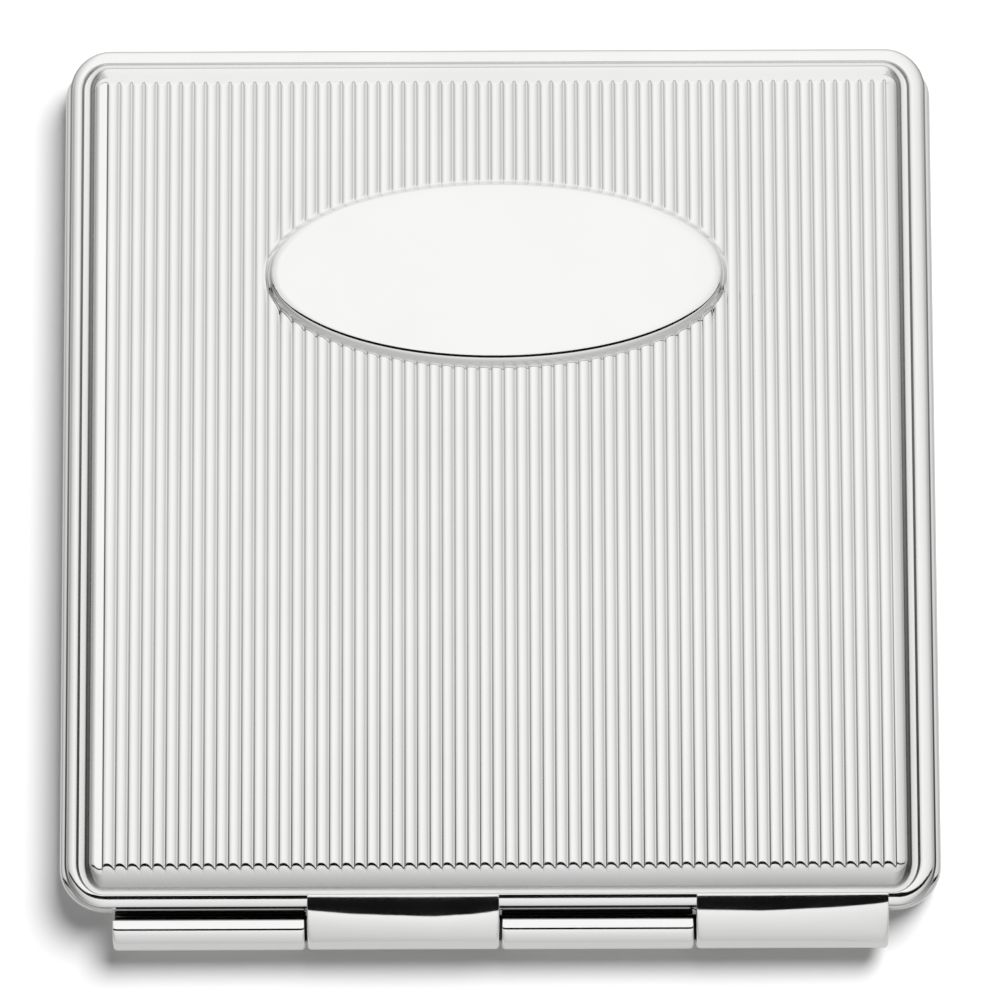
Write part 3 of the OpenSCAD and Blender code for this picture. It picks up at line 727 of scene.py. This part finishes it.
def knuckles(spans, upside_down):
    """Closed knuckles: the sheet above carried along the hinge, with its end edges a little rounded and its
    outer corners rounded in plan."""
    points, fours = [], []
    count = 0
    for low, high in spans:
        ends = np.array((0.0, 0.015, 0.05, 0.10, 0.18, 0.30))
        less = np.array((0.10, 0.045, 0.012, 0.0, 0.0, 0.0)) / (SHEET / 2)
        along = np.concatenate((low + ends, np.linspace(low, high, ALONG_STEPS)[1:-1], high - ends[::-1]))
        shrink = np.concatenate((less, np.zeros(ALONG_STEPS - 2), less[::-1]))[:, None, None]
        turn = np.full(len(along), BASE_TURN) if upside_down else np.interp(along, TURN_AT, TURN_OUT)
        outer, inner = knuckle_section(turn)
        middle = (outer + inner) / 2
        section = np.concatenate((outer, inner[:, ::-1]), axis=1)
        core = np.concatenate((middle, middle[:, ::-1]), axis=1)
        swept = section + (core - section) * shrink
        room = np.clip(np.minimum(along - low, high - along) / END_ROUND, 0, 1)
        drawn_in = END_ROUND * (1 - np.sqrt(1 - (1 - room) ** 2))
        s = swept[..., 0] - drawn_in[:, None] * np.clip((swept[..., 0] - 0.6) / 2.4, 0, 1)
        # the inner line of the sheet, under the knuckle and inside its curl, is painted fully dark as
        # painted shade
        dark = np.concatenate((np.zeros(outer.shape[1]), np.ones(inner.shape[1])))
        dark = np.broadcast_to(dark, s.shape)
        z = swept[..., 1]
        z = 2 * AXIS_Z - z if upside_down else z
        x = np.broadcast_to(along[:, None], z.shape)
        y = -HALF + MIDDLE_Y - s
        points.append(np.stack((x, y, z, dark), -1).reshape(-1, 4))
        rows, cols = z.shape
        numbers = count + np.arange(rows * cols).reshape(rows, cols)
        here, there = numbers[:-1], numbers[1:]
        walls = np.stack((here, np.roll(here, -1, 1), np.roll(there, -1, 1), there), -1).reshape(-1, 4)
        half = cols // 2
        first, second = np.arange(half - 1), cols - 1 - np.arange(half - 1)
        cap = np.c_[first, second, second - 1, first + 1]
        caps = numbers[0][cap[:, ::-1]], numbers[-1][np.roll(cap, -1, 1)]
        faces = np.vstack((walls[:, ::-1], *caps))
        fours.append(faces[:, ::-1] if upside_down else faces)
        count += rows * cols
    return np.vstack(points), np.vstack(fours)


lid_panel = {
    "columns": reed_columns(FINE_SAMPLES, EDGE_X), "lines": lid_lines, "shift": 1.0,
    "least": LEAST_BULGE, "warp": oval_warp, "notches": BASE_KNUCKLES,
}
body_points, body_fours, body_threes = stamping(lid_panel, (SIDE_RIM, NEAR_RIM, FAR_RIM), True)
roll_points, roll_fours = knuckles(LID_KNUCKLES, False)
lid_stamping = put_in_mesh(
    "lid_stamping", np.vstack((body_points, roll_points)),
    np.vstack((body_fours, roll_fours + len(body_points))), body_threes, silver,
)
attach(lid_stamping, "lid")
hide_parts("lid_shell")

# Base stamping: the lid's twin from below, without the oval, and a little wider than the lid at the sides,
# so that its rim shows round it. It carries the first and third knuckles.
# the base's rim in section, with the same columns as the lid's: place, distance in, height, painted shade
BASE_SIDE_RIM = np.array((
    (0, 0.62, 3.3, 1), (0.02, 0.54, 3.305, 1), (0.05, 0.44, 3.31, 1), (0.1, 0.36, 3.33, 1),
    (0.16, 0.29, 3.345, 0.5), (0.2, 0.22, 3.365, 0), (0.24, 0.02, 3.425, 0), (0.27, -0.1, 3.5, 0),
    (0.29, -0.17, 3.65, 0), (0.31, -0.2, 3.9, 0), (0.33, -0.21, 4.4, 0), (0.36, -0.2, 4.9, 0),
    (0.39, -0.14, 5.22, 0), (0.42, 0, 5.45, 0), (0.45, 0.17, 5.57, 0), (0.48, 0.38, 5.622, 0),
    (0.52, 0.55, 5.63, 0), (0.55, 0.68, 5.626, 0), (0.58, 0.8, 5.61, 0), (0.6, 0.88, 5.59, 0),
    (0.62, 0.94, 5.56, 0), (0.64, 0.98, 5.52, 0), (0.67, 1.01, 5.45, 0.15), (0.7, 1.03, 5.38, 0.2),
    (0.73, 1.05, 5.32, 0.15), (0.76, 1.075, 5.275, 0.05), (0.79, 1.11, 5.256, 0), (0.82, 1.15, 5.25, 0),
    (0.88, 1.3, 5.25, 0), (0.92, 1.5, 5.25, 0), (0.95, 1.75, 5.26, 0.05), (0.98, 1.9, 5.29, 0.3),
    (1, 2, 5.35, 0.4),
))
# its near side has the lid's section with the bead a little further in, and the heights of the wall's first
# rows as at the sides, so that the shelf beside the lid runs level into the corner
WALL_ROWS, WALL_KNOTS = 13, 8
base_near_rim = NEAR_RIM.copy()
base_near_rim[:, 1] += np.interp(NEAR_RIM[:, 2], (4.0, 4.9), (0.0, 0.13)) * (NEAR_RIM[:, 0] < 0.6)
wall_up = BASE_SIDE_RIM[:WALL_ROWS, 2]
knots_up = NEAR_RIM[:WALL_KNOTS, 2]
base_near_rim[:WALL_ROWS, 1] = np.interp(wall_up, knots_up, base_near_rim[:WALL_KNOTS, 1])
base_near_rim[:WALL_ROWS, 3] = np.interp(wall_up, knots_up, NEAR_RIM[:WALL_KNOTS, 3])
base_near_rim[:WALL_ROWS, 2] = wall_up
BASE_SAMPLES = (0.0, 0.05, 0.115, 0.20, 0.40, 0.64, 0.83)
straight_lines = np.linspace(-STRAIGHT_FROM, STRAIGHT_FROM, 9)
base_panel = {
    "columns": reed_columns(BASE_SAMPLES, EDGE_X), "notches": LID_KNUCKLES, "shift": 0.0,
    "lines": np.concatenate((BY_EDGE - EDGE_Y, straight_lines, EDGE_Y - BY_EDGE[::-1])),
}
body_points, body_fours, body_threes = stamping(base_panel, (BASE_SIDE_RIM, base_near_rim, FAR_RIM), False)
body_points[:, 2] = 2 * AXIS_Z - body_points[:, 2]
roll_points, roll_fours = knuckles(BASE_KNUCKLES, True)
flipped_fours = np.vstack((body_fours[:, ::-1], roll_fours + len(body_points)))
base_stamping = put_in_mesh(
    "base_stamping", np.vstack((body_points, roll_points)), flipped_fours, body_threes[:, ::-1], silver,
)
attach(base_stamping, "base")
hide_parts("base_shell")

# Hinge pin: a plain steel wire through all four knuckles, cut off flush with the outer knuckles and only
# just domed at its ends. Its colour is painted near-black as painted shade, so that the open curl of the
# knuckles looks dark inside.
PIN_RADIUS, PIN_HALF = 0.95, 28.60


def turned_piece(name, along, radius, steps, material):
    """A turned piece on the hinge axis: a radius at each place along it, carried round the axis. The first
    and last radius are 0, which closes the ends."""
    turn = np.linspace(0, 2 * np.pi, steps, endpoint=False)
    y = AXIS_Y + radius[:, None] * np.cos(turn)
    z = AXIS_Z + radius[:, None] * np.sin(turn)
    x = np.broadcast_to(along[:, None], y.shape)
    inner = np.stack((x, y, z), -1)[1:-1].reshape(-1, 3)
    tips = np.array(((along[0], AXIS_Y, AXIS_Z), (along[-1], AXIS_Y, AXIS_Z)))
    points = np.vstack((inner, tips))
    numbers = np.arange(len(inner)).reshape(-1, steps)
    walls = np.vstack([between_loops(a, b) for a, b in zip(numbers[:-1], numbers[1:])])
    first, last = len(inner), len(inner) + 1
    low = np.c_[np.full(steps, first), np.roll(numbers[0], -1), numbers[0]]
    high = np.c_[np.full(steps, last), numbers[-1], np.roll(numbers[-1], -1)]
    return put_in_mesh(name, points, walls, np.vstack((low, high)), material)


wire, add = new_material("pin wire painted dark as shade")
drawn = rubbed_marks(add, 90.0, 3000.0, (0.05, 1, 1))[1]
# near-black colour: painted shade inside the knuckles, varied a little by the drawn lines
tone = stepped(add, drawn, ((0.3, (0.030, 0.030, 0.032)), (0.7, (0.060, 0.058, 0.055))))
rough = add("ShaderNodeMapRange", {0: drawn, 1: 0.3, 2: 0.7, 3: 0.28, 4: 0.42}).outputs[0]
steel = add("ShaderNodeBsdfPrincipled", {"Base Color": tone, "Metallic": 1.0, "Roughness": rough})
add("ShaderNodeOutputMaterial", {0: steel.outputs[0]})
pin_along = np.array((-PIN_HALF - 0.02, -PIN_HALF, -PIN_HALF + 0.06, -PIN_HALF + 0.15, 0.0))
pin_along = np.concatenate((pin_along, -pin_along[-2::-1]))
pin_radius = np.array((0.0, 0.6, 0.86, PIN_RADIUS, PIN_RADIUS))
pin_radius = np.concatenate((pin_radius, pin_radius[-2::-1]))
pin = turned_piece("pin_wire", pin_along, pin_radius, 48, wire)
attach(pin, "base")
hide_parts("hinge_pin")

# Mirror frames: thin silver plated brass, pressed with a rolled edge round the opening and a fine line
# beside it, and turned up round the outside into a wall that springs into the stamping.
# in section: distance in from the outline, depth behind the face
FRAME_SECTION = np.array((
    (4.03, 0.27), (4.03, 0.17), (3.99, 0.08), (3.92, 0.025), (3.83, 0), (3.58, 0), (3.53, 0.012),
    (3.47, 0.06), (3.41, 0.012), (3.36, 0), (2.9, 0), (2.5, 0), (2.18, 0), (2.06, 0.018), (1.995, 0.07),
    (1.97, 0.17), (1.97, 0.6), (1.97, 1.26), (1.99, 1.325), (2.04, 1.35), (2.3, 1.35), (2.35, 1.325),
    (2.37, 1.26), (2.37, 0.52), (2.4, 0.43), (2.48, 0.4), (3, 0.4), (3.88, 0.4), (3.96, 0.385),
    (4.01, 0.34),
))
SECTION_WALL_IN, SECTION_OPENING_IN = 1.97, 4.0
BEND_FROM, BEND_WIDE = 3.3, 0.8
FRAME_ROUND, OPENING_ROUND = 1.45, 1.5
# height of each frame's face, and its wall's distance in from the outline
LID_FRAME_UP, LID_WALL_IN = 3.35, 1.97
BASE_FRAME_UP, BASE_WALL_IN = 3.15, 1.20
SIDE_STEPS = np.linspace(-1, 1, 25)


def round_square(inset, corner, z):
    """One loop round a square with round corners: every side lies inset from the case's outline."""
    half = HALF - inset
    plan = loop_points(half, half, half, corner, corner, corner, SIDE_STEPS, SIDE_STEPS, CORNER_STEPS)[:, :2]
    return np.c_[plan[:, 0], plan[:, 1] + MIDDLE_Y, np.full(len(plan), z)]


def pressed_frame(name, face, way, wall_in):
    """A frame: the section carried round the square and closed on itself. Its depth runs from the face away
    from the viewer of the mirror, and its wall moves out to the given distance from the outline."""
    outer_share = np.clip((BEND_FROM - FRAME_SECTION[:, 0]) / BEND_WIDE, 0, 1)
    moved = FRAME_SECTION[:, 0] + (wall_in - SECTION_WALL_IN) * outer_share
    corners = np.interp(moved, (wall_in, SECTION_OPENING_IN), (FRAME_ROUND, OPENING_ROUND))
    loops = [round_square(inset, corner, face + way * depth)
             for inset, corner, depth in zip(moved, corners, FRAME_SECTION[:, 1])]
    numbers = np.arange(len(loops) * len(loops[0])).reshape(len(loops), -1)
    fours = [between_loops(a, b) for a, b in zip(numbers, np.roll(numbers, -1, axis=0))]
    return put_in_mesh(name, np.vstack(loops), np.vstack(fours), [], silver, flip=way < 0)


lid_frame = pressed_frame("lid_mirror_frame", LID_FRAME_UP, 1, LID_WALL_IN)
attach(lid_frame, "lid")
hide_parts("lid_bezel")
base_frame = pressed_frame("base_mirror_frame", BASE_FRAME_UP, -1, BASE_WALL_IN)
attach(base_frame, "base")
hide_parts("base_bezel")


def coat(name, material):
    """Gives a part that keeps its solid's mesh a material from here."""
    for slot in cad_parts[name].material_slots:
        slot.material = material


coat("base_collar", silver)

# Mirrors: silvered glass, plain in the lid and ground slightly hollow in the base, so that it magnifies.
# The plain one keeps its made part. A few specks of the silvering are lost along the edges.
GLASS_IN = 3.10
glass, add = new_material("silvered glass")
cloud, wiped = rubbed_marks(add, 45.0, 700.0, (1.0, 0.25, 1.0))
place = add("ShaderNodeTexCoord").outputs["Object"]
apart = add("ShaderNodeSeparateXYZ", {0: place}).outputs
across = add("ShaderNodeMath", {0: apart["X"]}, operation="ABSOLUTE").outputs[0]
from_middle = add("ShaderNodeMath", {0: apart["Y"], 1: MIDDLE_Y * MM}, operation="SUBTRACT").outputs[0]
along = add("ShaderNodeMath", {0: from_middle}, operation="ABSOLUTE").outputs[0]
outermost = add("ShaderNodeMath", {0: across, 1: along}, operation="MAXIMUM").outputs[0]
SPECKS_FROM, SPECKS_TO = 26.8 * MM, 29.2 * MM
by_edge = add("ShaderNodeMapRange", {0: outermost, 1: SPECKS_FROM, 2: SPECKS_TO, 3: 0.0, 4: 0.17}).outputs[0]
spotted = {"Vector": place, "Scale": 900.0, "Detail": 4.0, "Roughness": 0.7}
specks = add("ShaderNodeTexNoise", spotted).outputs["Fac"]
speckled = add("ShaderNodeMath", {0: specks, 1: by_edge}, operation="ADD").outputs[0]
gone = add("ShaderNodeMapRange", {0: speckled, 1: 0.74, 2: 0.82, 3: 0.0, 4: 0.85}).outputs[0]
clear = stepped(add, cloud, ((0.3, (0.700, 0.722, 0.716)), (0.7, (0.728, 0.748, 0.742))))
aged = add("ShaderNodeMix", {0: gone, 6: clear, 7: (0.20, 0.17, 0.13, 1)}, data_type="RGBA").outputs[2]
smeared = add("ShaderNodeMapRange", {0: wiped, 1: 0.35, 2: 0.75, 3: 0.006, 4: 0.030}).outputs[0]
matt = add("ShaderNodeMix", {0: gone, 2: smeared, 3: 0.45}).outputs[0]
mirror = add("ShaderNodeBsdfPrincipled", {"Base Color": aged, "Metallic": 1.0, "Roughness": matt})
add("ShaderNodeOutputMaterial", {0: mirror.outputs[0]})
coat("lid_mirror", glass)


def slab(name, insets, corners, heights, material, hollow=0.0):
    """A closed slab: loops from the middle of the underside, out, up round the edge and back in over the
    top. The top sinks by the hollow in the middle, and less with the square of the distance from it."""
    loops = [round_square(*row) for row in zip(insets, corners, heights)]
    flat = len(loops[0])
    points = np.vstack(loops)
    radius = np.hypot(points[:, 0], points[:, 1] - MIDDLE_Y)
    on_top = points[:, 2] > (heights[0] + heights[-1]) / 2 + 0.4 * abs(heights[-1] - heights[0])
    bowl = hollow * (1 - (radius / radius.max()) ** 2) * on_top
    points[:, 2] -= bowl
    centres = np.array(((0.0, MIDDLE_Y, heights[0]), (0.0, MIDDLE_Y, heights[-1] - hollow)))
    numbers = np.arange(len(points)).reshape(-1, flat)
    fours = np.vstack([between_loops(a, b) for a, b in zip(numbers[:-1], numbers[1:])])
    under = np.c_[np.full(flat, len(points)), np.roll(numbers[0], -1), numbers[0]]
    over = np.c_[np.full(flat, len(points) + 1), numbers[-1], np.roll(numbers[-1], -1)]
    return put_in_mesh(name, np.vstack((points, centres)), fours, np.vstack((under, over)), material)


# heights of the magnifying mirror's underside and rim, and how deep its hollow is in the middle
GLASS_LOW, GLASS_HIGH, HOLLOW_DEPTH = 1.65, 2.734, 0.56
top_insets = np.linspace(GLASS_IN + 0.25, HALF - 1.5, 18)
edge_insets = GLASS_IN + np.array((0.06, 0.0, 0.0, 0.03, 0.1))
insets = np.concatenate(((20.0, 4.0), edge_insets, top_insets))
edge_heights = GLASS_LOW, GLASS_LOW + 0.06, GLASS_HIGH - 0.1, GLASS_HIGH - 0.03, GLASS_HIGH
heights = np.concatenate(((GLASS_LOW, GLASS_LOW), edge_heights, np.full(len(top_insets), GLASS_HIGH)))
corners = np.clip(HALF - insets - 0.2, 0.1, 1.6)
magnifier = slab("magnifying_mirror", insets, corners, heights, glass, hollow=HOLLOW_DEPTH)
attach(magnifier, "base")
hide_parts("base_mirror")

# Pads and boards: a thin sheet of foam behind each mirror takes up its tolerance, and a grey millboard
# behind that is glued to the stamping. Both are cut square and show only when the case is taken apart.
PAD_IN = 3.60
foam, add = new_material("foam")
place = add("ShaderNodeTexCoord").outputs["Object"]
cells = add("ShaderNodeTexVoronoi", {"Vector": place, "Scale": 3200.0}).outputs["Distance"]
age = add("ShaderNodeTexNoise", {"Vector": place, "Scale": 60.0, "Detail": 4.0}).outputs["Fac"]
yellowed = stepped(add, age, ((0.35, (0.72, 0.69, 0.60)), (0.65, (0.80, 0.78, 0.72))))
# each cell is darkened towards its middle: painted shade inside the foam's open cells
painted_pore_shade = stepped(add, cells, ((0.0, 0.45), (0.5, 1.0)))
shaded = times(yellowed, painted_pore_shade)
open_cells = add("ShaderNodeBump", {"Strength": 0.6, "Distance": 0.0001, "Height": cells}).outputs[0]
soft = add("ShaderNodeBsdfPrincipled", {"Base Color": shaded, "Roughness": 0.95, "Normal": open_cells})
add("ShaderNodeOutputMaterial", {0: soft.outputs[0]})
# from the middle of the underside, out round the soft cut edge, to the middle of the top
edge = np.array((0.12, 0.03, 0.0))
pad_insets = np.concatenate(((20.0, 6.0, 4.0), PAD_IN + edge, PAD_IN + edge[::-1], (4.0, 6.0, 20.0)))
pad_lift = np.array((0.0, 0.0, 0.0, 0.01, 0.06, 0.14, 0.36, 0.44, 0.49, 0.5, 0.5, 0.5))
for name, node, body, low in (("lid_foam", "lid_pad", "lid", 4.85), ("base_foam", "base_pad", "base", 1.15)):
    sheet = slab(name, pad_insets, np.full(len(pad_insets), 1.0), low + pad_lift, foam)
    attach(sheet, body)
    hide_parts(node)
board, add = new_material("millboard")
place = add("ShaderNodeTexCoord").outputs["Object"]
fibres = add("ShaderNodeMapping", {0: place, 3: (0.3, 1.0, 1.0)}).outputs[0]
matted = {"Vector": fibres, "Scale": 1500.0, "Detail": 5.0, "Roughness": 0.7}
pulp = add("ShaderNodeTexNoise", matted).outputs["Fac"]
grey = stepped(add, pulp, (
    (0.30, (0.20, 0.19, 0.17)), (0.52, (0.36, 0.34, 0.31)), (0.75, (0.46, 0.44, 0.41)),
))
rough_face = add("ShaderNodeBump", {"Strength": 0.4, "Distance": 0.00004, "Height": pulp}).outputs[0]
card = add("ShaderNodeBsdfPrincipled", {"Base Color": grey, "Roughness": 0.88, "Normal": rough_face})
add("ShaderNodeOutputMaterial", {0: card.outputs[0]})
coat("lid_board", board)
coat("base_board", board)

# Catch: a leaf of spring steel with a pressed nose, blued and rubbed bright again on its high places, held
# to the lid's frame by two turned rivets. The nose snaps into a slot in the base's collar.
leaf, add = new_material("spring steel leaf")
cloud, rolled = rubbed_marks(add, 260.0, 2400.0, (0.08, 1.0, 1.0))
tempered = stepped(add, cloud, (
    (0.32, (0.36, 0.37, 0.40)), (0.50, (0.50, 0.50, 0.50)), (0.68, (0.60, 0.57, 0.50)),
))
lined = add("ShaderNodeMapRange", {0: rolled, 1: 0.3, 2: 0.7, 3: 0.20, 4: 0.38}).outputs[0]
lines = add("ShaderNodeBump", {"Strength": 0.25, "Distance": 0.00001, "Height": rolled}).outputs[0]
finish = {"Base Color": tempered, "Metallic": 1.0, "Roughness": lined, "Normal": lines}
add("ShaderNodeOutputMaterial", {0: add("ShaderNodeBsdfPrincipled", finish).outputs[0]})
rivet, add = new_material("rivet steel")
cloud, turned = rubbed_marks(add, 700.0, 3500.0, (1.0, 0.2, 1.0))
bright = stepped(add, cloud, ((0.35, (0.52, 0.51, 0.50)), (0.65, (0.68, 0.67, 0.65))))
lined = add("ShaderNodeMapRange", {0: turned, 1: 0.3, 2: 0.7, 3: 0.16, 4: 0.30}).outputs[0]
head = add("ShaderNodeBsdfPrincipled", {"Base Color": bright, "Metallic": 1.0, "Roughness": lined})
add("ShaderNodeOutputMaterial", {0: head.outputs[0]})
coat("catch_spring", leaf)
coat("catch_rivets", rivet)
